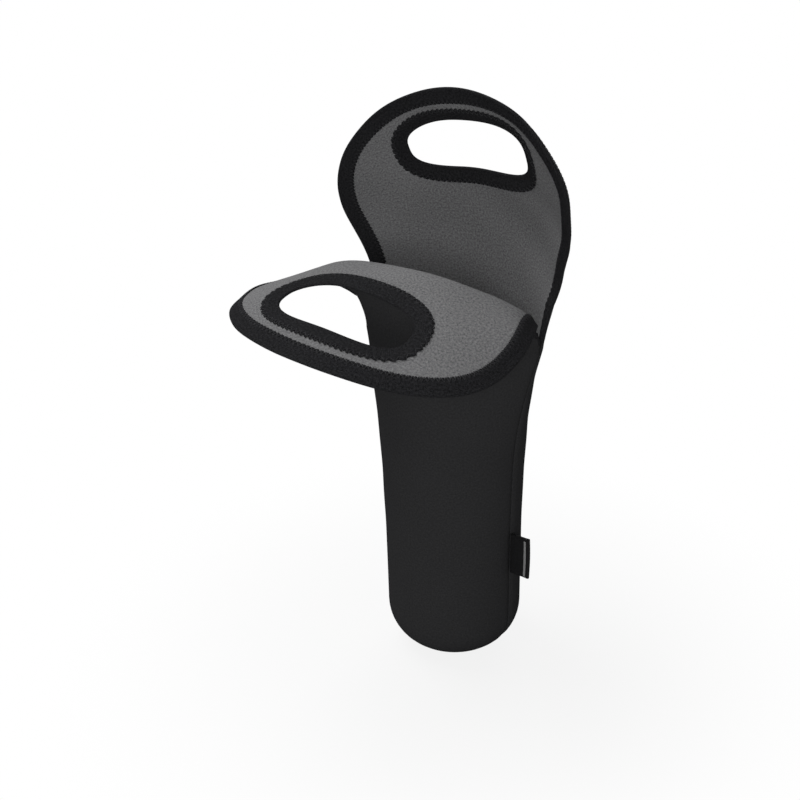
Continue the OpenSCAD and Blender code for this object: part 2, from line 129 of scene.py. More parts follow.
# The stitching: the zigzag's pitch, the thread's radius, and its start from each end of the edge
ZIGZAG_PITCH, THREAD_R, THREAD_START = 2.9, 0.24, 22.0
# How far the zigzag's points reach in over the tape and out over the cloth from the tape's border
ZIGZAG_ON_TAPE, ZIGZAG_ON_CLOTH = 2.2, 0.55
# The share of its radius by which the thread's middle stands off the tape and off the cloth
REST_ON_TAPE, REST_ON_CLOTH = 0.3, 0.2
# It climbs onto the tape from this far outside the border and over this way, and each leg rises by this
# share of its radius
CLIMB_FROM, CLIMB_LEN, LEG_RISE = 0.35, 0.7, 0.35
# The seam's thread: how far below the mouth it stops, and the width of its zigzag
SEAM_INSET, SEAM_STITCH = 4.0, 3.0
# The seam draws the outer cloth in, over this way to each side and by this much
GROOVE_W, GROOVE_DEPTH = 1.9, 0.9

# Soft unevenness of the cloth: its height, the lengths of its waves across and along, and their slant
WAVE_H, WAVE_ACROSS, WAVE_ALONG, WAVE_SLANT = 0.5, 61.0, 47.0, 0.3
# The phase of the waves across each panel, and the share of it that those along it have
WAVE_PHASE, WAVE_PHASE_SHARE = {True: 1.3, False: 3.9}, 0.7
# The power by which they fade out to the side seams
WAVE_FADE_POWER = 6
# The share by which a binding presses the cloth's edge together, and the way above the mouth that it takes
EDGE_PRESS, PRESS_RUN = 0.6, 24.0
# The way above the mouth over which a flap comes to lie as its own, off the sewn wall
MOUTH_BLEND = 9.0
# How far the cloth below the back hand hole hangs at one end, where that starts and over which widths
# it sets in across, fades to the flap's edge and fades along
SAG, SAG_FROM, SAG_ACROSS, SAG_EDGE, SAG_ALONG = 3.6, -12.0, 44.0, 3 * BIND_W, 26.0

# The side label: its ribbon's thickness, and how far it bows
LABEL_T, LABEL_BOW = 0.5, 0.7
# Its loop swells near the fold by a share, over a reach counted in half widths of the loop
LABEL_SWELL, LABEL_SWELL_REACH = 0.5, 3
# The pale line on each leg: its way from the fold, its width, its middle's height and its length
LABEL_LINE_AT, LABEL_LINE_W, LABEL_LINE_MID, LABEL_LINE_LEN = 2.9, 1.4, 12.4, 23.6

# Grid counts. Across a panel, and up its base, corner, wall and bend
ACROSS, BASE_ROWS, CORNER_ROWS, WALL_ROWS, BEND_ROWS = 96, 3, 14, 72, 40
# Up a handle's side, round its end, and in rows under its tapes and between them
SIDE_COLS, END_COLS, TAPE_ROWS, RING_ROWS = 24, 128, 5, 14
# Above a handle's lower corners its first rows turn to follow the tape over this way
CORNER_BLEND = 3 * BIND_W
# Points across the tape's flats and its round edge, and the spacing of its sections
TAPE_FLAT_POINTS, TAPE_ROUND_POINTS, TAPE_PITCH = 12, 11, 0.5
# Sides of the thread, and steps along each leg of its zigzag
THREAD_SIDES, LEG_STEPS = 6, 5
# Points of the label's leg and fold, and rows up it
LABEL_LEG_POINTS, LABEL_TURN_POINTS, LABEL_ROWS = 24, 17, 36
# Points of a finely drawn edge, and of its short stretch below the handle
FINE, FINE_START = 4000, 500
# Spacing of the points to which the way from a bound edge is taken, and how many places are done at once
BOUND_STEP, AT_ONCE = 1.0, 2000
# The small step by which slopes are taken, and the distance in metres below which points are one
SLOPE_STEP, WELD_M = 0.05, 1e-7


def ease(t):
    """Smooth step from 0 to 1: three squares less two cubes."""
    t = np.clip(t, 0, 1)
    return t * t * (3 - 2 * t)


def unit(v):
    """Vectors of the same way and of length 1."""
    return v / np.linalg.norm(v, axis=-1, keepdims=True)


def power(x, p):
    """A power that keeps its sign."""
    return np.sign(x) * np.abs(x) ** p


def pairs(a, b):
    """The values of a and b, spread over one grid, side by side in its last axis."""
    return np.stack(np.broadcast_arrays(a, b), -1)


def way_along(points):
    """The way along a line to each of its points, as a running sum of its steps."""
    return np.concatenate([[0], np.cumsum(np.linalg.norm(np.diff(points, axis=0), axis=-1))])


def between(a, b, n):
    """n + 1 rows of points that run straight from the row a to the row b."""
    t = np.linspace(0, 1, n + 1)[:, None, None]
    return a + (b - a) * t


def sewn_w(s):
    """Half a sewn panel's width: steady low down, then growing as a power of the height."""
    rise = np.clip((TUBE_H + s - TAPER_START_H) / (TUBE_H - TAPER_START_H), 0, 1)
    return BASE_HALF_GIRTH + (MOUTH_HALF_GIRTH - BASE_HALF_GIRTH) * rise ** TAPER_POWER


def half_arc(s):
    """Half the arc of a sewn panel: a quarter turn low down, less at the almond-shaped mouth."""
    t = np.clip(1 + s / MOUTH_EASE_H, 0, 1)
    return math.pi / 2 - (math.pi / 2 - MOUTH_HALF_ANGLE) * t * t * (3 - t) / 2


def tube_r(s):
    """Radius of a sewn panel's arc: its half width over its half arc."""
    return sewn_w(s) / half_arc(s)


def tube_depth(s):
    """How far the arc's middle stands out from the line between its ends."""
    return tube_r(s) * (1 - np.cos(half_arc(s)))


MOUTH_R, MOUTH_DEPTH = float(tube_r(0.0)), float(tube_depth(0.0))
# The lean of the sewn wall's middle line at the mouth, from which a flap's own lean starts
LEAN_START = math.atan((MOUTH_DEPTH - float(tube_depth(-SLOPE_STEP))) / SLOPE_STEP)
# The middle of the foam at the round corner, and the flat disc inside it
CORNER_MID_R = CORNER_R - KNIT_H
BASE_FLAT_R = float(tube_r(CORNER_R - TUBE_H)) - CORNER_MID_R


def flap_w(s):
    """Half a flap's width: an eased swell, then the quarter of a superellipse."""
    swell = ease((s - SWELL_START) / (SWELL_END - SWELL_START))
    low = MOUTH_HALF_GIRTH + (FLAP_HALF_W - MOUTH_HALF_GIRTH) * swell
    over = np.clip((s - SWELL_END) / (FLAP_LEN - SWELL_END), 0, 1)
    return np.where(s < SWELL_END, low, FLAP_HALF_W * (1 - over ** FLAP_END_POWER) ** (1 / FLAP_END_POWER))


def bend_end(f):
    """Where the ring of cloth round the hand hole starts, which is higher at the flap's middle."""
    return BEND_END_SIDE + (BEND_END_MID - BEND_END_SIDE) * ease((1 - np.abs(f)) / BEND_RISE_SHARE)


def flap_edge(v):
    """The handle's edge in the flat cloth. v from 0 to 1 goes up the right side, to 3 round, to 4 down."""
    s = BEND_END_SIDE + (SWELL_END - BEND_END_SIDE) * np.clip(np.where(v > 2, 4 - v, v), 0, 1)
    side_u = np.where(v > 2, -1, 1) * flap_w(s)
    a = math.pi / 2 * np.clip(v - 1, 0, 2)
    round_u = FLAP_HALF_W * power(np.cos(a), 2 / FLAP_END_POWER)
    round_s = SWELL_END + (FLAP_LEN - SWELL_END) * power(np.sin(a), 2 / FLAP_END_POWER)
    on_side = (v < 1) | (v > 3)
    return pairs(np.where(on_side, side_u, round_u), np.where(on_side, s, round_s))


def hole_edge(a):
    """The hand hole's edge in the flat cloth, a superellipse seen from its middle at angle a."""
    r = (np.abs(np.cos(a)) / HOLE_HALF_W) ** HOLE_POWER + (np.abs(np.sin(a)) / HOLE_HALF_H) ** HOLE_POWER
    r = r ** (-1 / HOLE_POWER)
    return pairs(r * np.cos(a), HOLE_UP + r * np.sin(a))


def evenly(curve, pitch):
    """Points of a fine polyline, a whole number of even steps near pitch apart, and the way to each."""
    way_to = way_along(curve)
    count = max(2, int(round(way_to[-1] / pitch)))
    d = np.linspace(0, way_to[-1], count + 1)
    return pairs(np.interp(d, way_to, curve[:, 0]), np.interp(d, way_to, curve[:, 1])), d


def left_of(points, closed):
    """Unit way to the left of a flat line's run, from central differences."""
    if closed:
        run = np.roll(points, -1, axis=0) - np.roll(points, 1, axis=0)
    else:
        run = np.gradient(points, axis=0)
    return unit(pairs(-run[:, 1], run[:, 0]))


def edge_line(pitch):
    """The whole free edge of a flap, from the binding's right end round to its left end."""
    s = np.linspace(BIND_START, BEND_END_SIDE, FINE_START, endpoint=False)
    side = pairs(flap_w(s), s)
    curve = np.concatenate([side, flap_edge(np.linspace(0, 4, FINE)), side[::-1] * [-1, 1]])
    return evenly(curve, pitch)


def hole_line(pitch):
    """The hand hole's edge, followed clockwise, so that the cloth lies to its left."""
    points, d = evenly(hole_edge(np.linspace(0, -2 * math.pi, FINE)), pitch)
    return points[:-1], d[:-1]


# Points of the edges that a binding presses, the flap's and its hand hole's
BOUND_EDGES = np.concatenate([edge_line(BOUND_STEP)[0], hole_line(BOUND_STEP)[0]])


def lean(s, front):
    """Lean from the vertical: linear up to the mouth's lean, then linear to the curl inward."""
    low = LEAN_START + (MOUTH_LEAN[front] - LEAN_START) * s / LEAN_LEN
    high = MOUTH_LEAN[front] - (MOUTH_LEAN[front] + CURL[front]) * (s - LEAN_LEN) / (FLAP_LEN - LEAN_LEN)
    return np.where(s < LEAN_LEN, low, high)


def way(s, front):
    """Way outward and way up along the two circular arcs of that lean."""
    mouth, end = MOUTH_LEAN[front], -CURL[front]
    r1 = LEAN_LEN / (mouth - LEAN_START)
    r2 = (FLAP_LEN - LEAN_LEN) / (end - mouth)
    a = lean(s, front)
    a1 = np.where(s < LEAN_LEN, a, mouth)
    a2 = np.where(s < LEAN_LEN, mouth, a)
    out = r1 * (math.cos(LEAN_START) - np.cos(a1)) + r2 * (math.cos(mouth) - np.cos(a2))
    up = r1 * (np.sin(a1) - math.sin(LEAN_START)) + r2 * (np.sin(a2) - math.sin(mouth))
    return out, up


def open_way(s, front):
    """How far a flap has opened: a start rate, to which the rest is added over the easing length."""
    share, length = OPEN_START_SHARE[front], OPEN_EASE[front]
    eased = np.where(s < length, s * s / (2 * length), s - length / 2)
    return share * s + (1 - share) * eased


def upright(u, s, front):
    """A flap before it is folded: circles across it whose radius opens out, along the leaning line."""
    left = np.clip(1 - open_way(s, front) / open_way(np.float64(FLAP_LEN), front), 0, 1)
    r = END_R[front] - (END_R[front] - MOUTH_R) * left ** OPEN_POWER[front]
    drop = r * (1 - np.cos(u / r))
    a = lean(s, front) - LEAN_START * (1 - ease(s / (2 * LEAN_LEN)))
    out, up = way(s, front)
    y, z = MOUTH_DEPTH + out - drop * np.cos(a), TUBE_H + up + drop * np.sin(a)
    return np.stack([r * np.sin(u / r), y, z], -1)


def folded(p, s):
    """The front flap: mirrored in a sloping plane, with a round bend there, then rolled a little.

    A point past the plane goes back by twice its distance d. Near the plane that sets in as the square of
    d, over the fold's radius to each side.
    """
    n = np.array([0, math.sin(FOLD_HALF_ANGLE), math.cos(FOLD_HALF_ANGLE)])
    at = np.array([0, -MOUTH_DEPTH, TUBE_H + FOLD_H])
    p = p * np.array([1, -1, 1])
    d = (p - at) @ n
    back = np.where(d > FOLD_R, 2 * d, np.where(d < -FOLD_R, 0, (d + FOLD_R) ** 2 / (2 * FOLD_R)))
    p = p - (back * ease(s / LEAN_LEN))[..., None] * n
    a = FRONT_ROLL * ease(-(p[..., 1] + MOUTH_DEPTH) / ROLL_LEN)
    x, z = p[..., 0], p[..., 2] - at[2]
    return np.stack([x * np.cos(a) + z * np.sin(a), p[..., 1], z * np.cos(a) - x * np.sin(a) + at[2]], -1)


def tilted(p):
    """The back flap: turned a little sideways, more with height."""
    x, z = p[..., 0], p[..., 2] - TUBE_H
    a = BACK_TILT * ease(z / TILT_LEN)
    return np.stack([x * np.cos(a) - z * np.sin(a), p[..., 1], x * np.sin(a) + z * np.cos(a) + TUBE_H], -1)


def flap_mid(u, s, front):
    """A point of the middle of a flap's foam, as the flap lies."""
    return folded(upright(u, s, front), s) if front else tilted(upright(u, s, front))


def flap_normal(u, s, front):
    """Outward direction of a flap, from the slopes along u and s."""
    du = flap_mid(u + SLOPE_STEP, s, front) - flap_mid(u - SLOPE_STEP, s, front)
    ds = flap_mid(u, s + SLOPE_STEP, front) - flap_mid(u, s - SLOPE_STEP, front)
    return unit(np.cross(du, ds)) * (1 if front else -1)


def unevenness(u, s, front):
    """Two crossing cosines that fade out to the base and to the side seams, for cloth that lies uneven.

    Above the mouth the width over which they fade grows with the height.
    """
    phase = WAVE_PHASE[front]
    across = np.cos(2 * math.pi * (u / WAVE_ACROSS + WAVE_SLANT * s / WAVE_ALONG) + phase)
    along = np.cos(2 * math.pi * s / WAVE_ALONG + WAVE_PHASE_SHARE * phase)
    half = np.where(s < 0, sewn_w(np.minimum(s, 0)), MOUTH_HALF_GIRTH + s)
    fade = 1 - np.clip(np.abs(u) / half, 0, 1) ** WAVE_FADE_POWER
    return WAVE_H * across * along * ease((s + TUBE_H - CORNER_R) / TUBE_H) * fade


def pressed(u, s):
    """The share of its thickness that the cloth keeps: least at a bound edge, whole a binding's width in."""
    flat = pairs(u, s).reshape(-1, 2)
    distance = np.concatenate([np.sqrt(((part[:, None] - BOUND_EDGES[None]) ** 2).sum(-1).min(1))
                               for part in np.array_split(flat, len(flat) // AT_ONCE + 1)])
    share = 1 - EDGE_PRESS * (1 - ease(distance / BIND_W)) * ease(flat[:, 1] / PRESS_RUN)
    return share.reshape(np.shape(u))


def sagged(u, s, front):
    """The height along the cloth, let down by a bell curve about the lower border of the back hand hole."""
    bell = ease(1 - np.abs(s - (HOLE_UP - HOLE_HALF_H)) / SAG_ALONG)
    side = ease((u - SAG_FROM) / SAG_ACROSS) * ease((FLAP_HALF_W - u) / SAG_EDGE)
    return s if front else s - SAG * bell * side


def seam_groove(distance, h):
    """How far the outside is drawn in beside the seam: a bell curve of the distance from it."""
    return GROOVE_DEPTH * np.exp(-(distance / GROOVE_W) ** 2) * np.clip(h / KNIT_H, 0, 1)


def on_base(f, t, h, front):
    """The half base: t from 0 to 1 goes out over the flat disc, and from 1 to 2 up the round corner."""
    a = math.pi / 2 * np.clip(t - 1, 0, 1)
    flat = BASE_FLAT_R * np.clip(t, 0, 1)
    distance = (flat + CORNER_MID_R * np.sin(a)) * (1 - np.abs(f)) * math.pi / 2
    h = h - seam_groove(distance, h) * np.clip(t - 1, 0, 1)
    r = flat + (CORNER_MID_R + h) * np.sin(a)
    turn = math.pi / 2 * f
    y = r * np.cos(turn)
    return np.stack([r * np.sin(turn), -y if front else y, CORNER_R - (CORNER_MID_R + h) * np.cos(a)], -1)


def on_tube(f, s, h, front):
    """A point of the sewn wall: arcs about an axis that moves in as the mouth flattens."""
    middle = tube_depth(s) - tube_r(s)
    quarter = np.arccos(np.clip(-middle / (tube_r(s) + h), -1, 1))
    r = tube_r(s) + h - seam_groove((1 - np.abs(f)) * quarter * tube_r(s), h)
    turn = quarter * f
    y = np.maximum(middle + r * np.cos(turn), 0)
    return np.stack([r * np.sin(turn), -y if front else y, TUBE_H + s], -1)


def on_flap(u, s, h, front):
    """A point h outward from the middle of a flap, in cloth that is pressed at its edges, uneven and sagged.

    Near the mouth it is moved by as much as the flap's first row lies off the sewn wall, so that they meet.
    """
    h = (h * pressed(u, s) + unevenness(u, s, front))[..., None]
    s = sagged(u, s, front)
    share = u / np.maximum(flap_w(s), MOUTH_HALF_GIRTH / 2)
    at_mouth, zero = share * MOUTH_HALF_GIRTH, np.zeros_like(s)
    wall = on_tube(share, zero, h[..., 0], front)
    first_row = flap_mid(at_mouth, zero, front) + h * flap_normal(at_mouth, zero, front)
    p = flap_mid(u, s, front) + h * flap_normal(u, s, front)
    return p + (wall - first_row) * (1 - ease(s / MOUTH_BLEND))[..., None]


def grid_faces(rows, cols, start=0, close=False):
    """Corners of the quads of a grid of rows by cols points, the last column joined to the first or not."""
    i, j = np.meshgrid(np.arange(rows - 1), np.arange(cols if close else cols - 1), indexing="ij")
    k = (j + 1) % cols
    quads = np.stack([i * cols + j, i * cols + k, (i + 1) * cols + k, (i + 1) * cols + j], -1)
    return quads.reshape(-1, 4) + start


def rim_faces(a, b, n):
    """Quads that join the steps from a to b on one face's rim to the same steps n points on."""
    return np.stack([a, b, b + n, a + n], -1)


def sleeve_faces(rows, cols, closed, end):
    """Quads of a tube of rows of cols points, joined into a loop or shut with the quads of end."""
    if closed:
        return grid_faces(rows + 1, cols, close=True) % (rows * cols)
    return np.concatenate([grid_faces(rows, cols, close=True), end, end[:, ::-1] + (rows - 1) * cols])


def mesh_object(name, points, faces, uv):
    """A mesh of points in millimetres and faces of four corners, smooth and facing outward. uv is in mm."""
    mesh = bpy.data.meshes.new(name)
    mesh.from_pydata((points * MM).tolist(), [], faces.tolist())
    layer = mesh.uv_layers.new(name="Cloth")
    corners = np.empty(len(mesh.loops), dtype=np.int32)
    mesh.loops.foreach_get("vertex_index", corners)
    layer.data.foreach_set("uv", uv[corners].astype(np.float32).ravel())
    b = bmesh.new()
    b.from_mesh(mesh)
    bmesh.ops.remove_doubles(b, verts=b.verts, dist=WELD_M)
    bmesh.ops.dissolve_degenerate(b, edges=b.edges, dist=WELD_M)
    bmesh.ops.recalc_face_normals(b, faces=b.faces)
    b.to_mesh(mesh)
    b.free()
    mesh.polygons.foreach_set("use_smooth", np.ones(len(mesh.polygons), dtype=bool))
    mesh.update()
    o = bpy.data.objects.new(name, mesh)
    bpy.context.scene.collection.objects.link(o)
    return o


def handle_rings():
    """Flat points of the cloth round the hand hole, in rows from its outline in to the hole.

    The rows lie evenly between the outline, its tape's border, the hole tape's border and the hole. Where
    the outline crosses the cloth below the hole, a third of the way in takes the place of the border, and
    the two blend above the lower corners.
    """
    f = np.linspace(-1, 1, ACROSS + 1)
    base = pairs(f * flap_w(bend_end(f)), bend_end(f))[1:-1]
    v = np.concatenate([np.linspace(0, 1, SIDE_COLS, endpoint=False),
                        np.linspace(1, 3, END_COLS, endpoint=False), np.linspace(3, 4, SIDE_COLS + 1)])
    edge = flap_edge(v)
    outline = np.concatenate([base, edge])
    hole = hole_edge(np.arctan2(outline[:, 1] - HOLE_UP, outline[:, 0]))
    u, s = hole[:, 0] / HOLE_HALF_W, (hole[:, 1] - HOLE_UP) / HOLE_HALF_H
    hole_out = unit(pairs(power(u, HOLE_POWER - 1) / HOLE_HALF_W, power(s, HOLE_POWER - 1) / HOLE_HALF_H))
    hole_border = hole + BIND_W * hole_out
    fine_v = np.linspace(0, 4, FINE)
    edge_in = left_of(flap_edge(fine_v), False)[np.searchsorted(fine_v, v).clip(0, FINE - 1)]
    third_in = (2 * outline + hole_border) / 3
    low, high = third_in[:len(base)], third_in[len(base):]
    t = ease((edge[:, 1] - BEND_END_SIDE) / CORNER_BLEND)[:, None]
    border = np.concatenate([low, high + (edge + BIND_W * edge_in - high) * t])
    return np.concatenate([between(outline, border, TAPE_ROWS), between(border, hole_border, RING_ROWS)[1:],
                           between(hole_border, hole, TAPE_ROWS)[1:]])


def panel_face(h, front):
    """One face of a whole panel: the grid of its base, corner, wall and bend, and the ring of its handle.

    The same places in the flat cloth follow, for the pattern on it.
    """
    f = np.linspace(-1, 1, ACROSS + 1)
    t = np.concatenate([np.linspace(0, 1, BASE_ROWS, endpoint=False),
                        np.linspace(1, 2, CORNER_ROWS, endpoint=False)])[:, None]
    base = on_base(*np.broadcast_arrays(f[None, :], t), h, front)
    flat_base = pairs(f * BASE_HALF_GIRTH * t / 2, (t - 1) * CORNER_R - TUBE_H)
    wall_f, wall_s = np.meshgrid(f, np.linspace(CORNER_R - TUBE_H, 0, WALL_ROWS, endpoint=False))
    flat_wall = pairs(wall_f * sewn_w(wall_s), wall_s)
    wall = on_tube(wall_f, wall_s, h + unevenness(flat_wall[..., 0], wall_s, front), front)
    bend_s = np.linspace(0, 1, BEND_ROWS + 1)[:, None] * bend_end(f)[None, :]
    flat_bend = pairs(f[None, :] * flap_w(bend_s), bend_s)
    bend = on_flap(flat_bend[..., 0], bend_s, h, front)
    rings = handle_rings()
    ring = on_flap(rings[..., 0], rings[..., 1], h, front)
    return np.concatenate([base, wall, bend]), ring, np.concatenate([flat_base, flat_wall, flat_bend]), rings


def cloth_layer(name, low, high, front):
    """A closed layer of cloth between the heights low and high, welded where its two grids meet."""
    grid, ring, flat, rings = panel_face(high, front)
    low_grid, low_ring, _, _ = panel_face(low, front)
    rows, cols = grid.shape[:2]
    ring_rows, ring_cols = ring.shape[:2]
    start = rows * cols
    n = start + ring_rows * ring_cols
    outer = np.concatenate([grid_faces(rows, cols), grid_faces(ring_rows, ring_cols, start, close=True)])
    left = np.arange(rows - 1) * cols
    right = left + cols - 1
    edge = start + np.arange(ACROSS - 1, ring_cols - 1)
    hole = start + (ring_rows - 1) * ring_cols + np.arange(ring_cols)
    faces = np.concatenate([outer, outer[:, ::-1] + n, rim_faces(left, left + cols, n),
                            rim_faces(right + cols, right, n), rim_faces(edge + 1, edge, n),
                            rim_faces(hole, np.roll(hole, -1), n)])
    points = np.concatenate([p.reshape(-1, 3) for p in (grid, ring, low_grid, low_ring)])
    uv = np.concatenate([flat.reshape(-1, 2), rings.reshape(-1, 2)] * 2)
    return mesh_object(name, points, faces, uv)


def tape_profile():
    """The folded tape across its width, as (b, h): flat faces that swell a little and a round edge."""
    b = np.linspace(BIND_W, TAPE_ROUND_IN, TAPE_FLAT_POINTS)
    swell = TAPE_SWELL * np.sin(math.pi * ((BIND_W - b) / BIND_W) ** TAPE_SWELL_POWER)
    over = np.linspace(0, math.pi, TAPE_ROUND_POINTS)[1:-1]
    under_knit, under_lining = KNIT_H + BIND_GAP, LINING_H + BIND_GAP
    top, low = under_knit + BIND_T, under_lining + BIND_T
    edge_b = TAPE_ROUND_IN - (TAPE_ROUND_IN + BIND_GAP + BIND_T + TAPE_ROUND_SPARE) * np.sin(over)
    edge_h = (top - low) / 2 + (top + low) / 2 * np.cos(over)
    outer_b = np.concatenate([[BIND_W], b, edge_b, b[::-1], [BIND_W]])
    outer_h = np.concatenate([[under_knit], top + swell, edge_h, -low - swell[::-1], [-under_lining]])
    return np.append(outer_b, [-BIND_GAP, -BIND_GAP]), np.append(outer_h, [-under_lining, under_knit])


def tape_end(cols):
    """Quads that shut a tape's end, from its outer profile to the nearer of its two inner corners."""
    outer = np.arange(cols - 2)
    inner = np.where(outer < (cols - 2) // 2, cols - 1, cols - 2)
    return np.stack([outer[:-1], outer[1:], inner[1:], inner[:-1]], -1)


def width_share(d, length, front):
    """The share of a tape's width that shows, growing away from both its ends on the front flap."""
    grown = ease(np.minimum(d, length - d) / WIDEN_LEN)
    return END_WIDTH_SHARE + (1 - END_WIDTH_SHARE) * grown if front else np.ones_like(d)


def tape_piece(name, line, front, closed):
    """Binding carried along a cloth edge, with a scalloped border that the zigzag stitches press down.

    The scallops are a cosine of the zigzag's pitch. An open tape thins into the cloth at both its ends.
    """
    points, d = line
    b, h = tape_profile()
    wave = np.cos(2 * math.pi * d / ZIGZAG_PITCH)[:, None]
    at_border = ease((b - BORDER_FROM * BIND_W) / ((1 - BORDER_FROM) * BIND_W))
    face = np.where(h > 0, 1.0, -1.0)
    outside = np.abs(h) > KNIT_H + BIND_GAP + BIND_T / 2
    b_all = b + SCALLOP * wave * at_border
    h_all = h - PRESS * face * outside * at_border * (0.5 - 0.5 * wave)
    if not closed:
        run = TAPE_END_SHARE + (1 - TAPE_END_SHARE) * ease(np.minimum(d, d[-1] - d) / TAPE_RUN_IN)[:, None]
        over = np.maximum(np.abs(h_all) - np.where(h_all > 0, KNIT_H, LINING_H), 0)
        h_all = h_all - face * over * (1 - run)
        b_all = b_all * np.where(b_all < 0, run, width_share(d, d[-1], front)[:, None])
    flat = points[:, None, :] + b_all[..., None] * left_of(points, closed)[:, None, :]
    solid = on_flap(flat[..., 0], flat[..., 1], h_all, front)
    rows, cols = solid.shape[:2]
    uv = pairs(d[:, None], way_along(pairs(b, h)))
    return mesh_object(name, solid.reshape(-1, 3), sleeve_faces(rows, cols, closed, tape_end(cols)),
                       uv.reshape(-1, 2))


def thread_tube(name, path, off_way, closed):
    """Thread: a thin tube of six sides along a path, its sides set out from the way off the cloth."""
    if closed:
        run = unit(np.roll(path, -1, axis=0) - np.roll(path, 1, axis=0))
    else:
        run = unit(np.gradient(path, axis=0))
    across = unit(np.cross(run, off_way))
    normal = np.cross(across, run)
    turn = np.linspace(0, 2 * math.pi, THREAD_SIDES, endpoint=False)[None, :, None]
    ring = path[:, None] + THREAD_R * (np.cos(turn) * across[:, None] + np.sin(turn) * normal[:, None])
    end = np.array([[0, 3, 4, 5], [0, 1, 2, 3]])
    uv = pairs(way_along(path)[:, None], turn[..., 0] * THREAD_R)
    return mesh_object(name, ring.reshape(-1, 3), sleeve_faces(len(path), THREAD_SIDES, closed, end),
                       uv.reshape(-1, 2))


def zigzag_piece(name, curve, front, closed, side):
    """Zigzag stitches along a triangle wave that straddles the binding's inner border.

    side is 1 on the outer knit and -1 on the lining. The thread climbs onto the tape by an eased step, and
    each leg rises between its points as a sine squared.
    """
    points, d = curve(ZIGZAG_PITCH / 2)
    if closed and len(points) % 2:
        points, d = curve(ZIGZAG_PITCH / 2 * len(points) / (len(points) + 1))
    width = BIND_W
    if not closed:
        width = BIND_W * width_share(d, d[-1], front)
        kept = (d > THREAD_START) & (d < d[-1] - THREAD_START)
        points, width = points[kept], width[kept]
    past = np.where(np.arange(len(points)) % 2 == 0, -ZIGZAG_ON_TAPE, ZIGZAG_ON_CLOTH)
    corner = points + (width + past)[:, None] * left_of(points, closed)
    if closed:
        corner, past = np.concatenate([corner, corner[:1]]), np.append(past, past[0])
    k = np.arange(len(past))
    steps = np.linspace(0, k[-1], k[-1] * LEG_STEPS + 1)
    u, s, past = (np.interp(steps, k, values) for values in (corner[:, 0], corner[:, 1], past))
    on_cloth, on_tape = REST_ON_CLOTH * THREAD_R, BIND_GAP + BIND_T + REST_ON_TAPE * THREAD_R
    rise = on_cloth + (on_tape - on_cloth) * ease((CLIMB_FROM - past) / CLIMB_LEN)
    rise = rise + LEG_RISE * THREAD_R * np.sin(math.pi * (steps % 1)) ** 2
    path = on_flap(u, s, side * ((KNIT_H if side > 0 else LINING_H) + rise), front)
    if closed:
        path, u, s = path[:-1], u[:-1], s[:-1]
    return thread_tube(name, path, flap_normal(u, s, front), closed)


def seam_thread_piece(name):
    """The U-seam's thread: a zigzag inside, down one side seam, under the base and up the other.

    d is the way along the seam from the base's middle, over the flat, round the corner and up the wall.
    """
    off = LINING_H + THREAD_R
    corner_r = CORNER_MID_R - off
    corner_len = corner_r * math.pi / 2
    half = BASE_FLAT_R + corner_len + (TUBE_H - CORNER_R - SEAM_INSET)
    count = 2 * int(half / (ZIGZAG_PITCH / 2)) + 1
    k = np.arange(count)
    steps = np.linspace(0, count - 1, (count - 1) * LEG_STEPS + 1)
    d = np.interp(steps, k, np.linspace(-half, half, count))
    y = np.interp(steps, k, np.where(k % 2 == 0, 1.0, -1.0) * SEAM_STITCH / 2)
    away = np.abs(d)
    a = np.clip((away - BASE_FLAT_R) / corner_r, 0, math.pi / 2)
    s = CORNER_R + np.clip(away - BASE_FLAT_R - corner_len, 0, None) - TUBE_H
    middle = tube_depth(s) - tube_r(s)
    wall_x = np.sqrt((tube_r(s) - off) ** 2 - (np.abs(y) - middle) ** 2)
    low_x = np.minimum(away, BASE_FLAT_R) + corner_r * np.sin(a)
    on_wall = away > BASE_FLAT_R + corner_len
    path = np.stack([np.sign(d) * np.where(on_wall, wall_x, low_x), y,
                     np.where(on_wall, s + TUBE_H, CORNER_R - corner_r * np.cos(a))], -1)
    off_way = np.stack([-np.sign(d) * np.sin(a), np.zeros_like(a), np.cos(a)], -1)
    return thread_tube(name, path, off_way, closed=False)


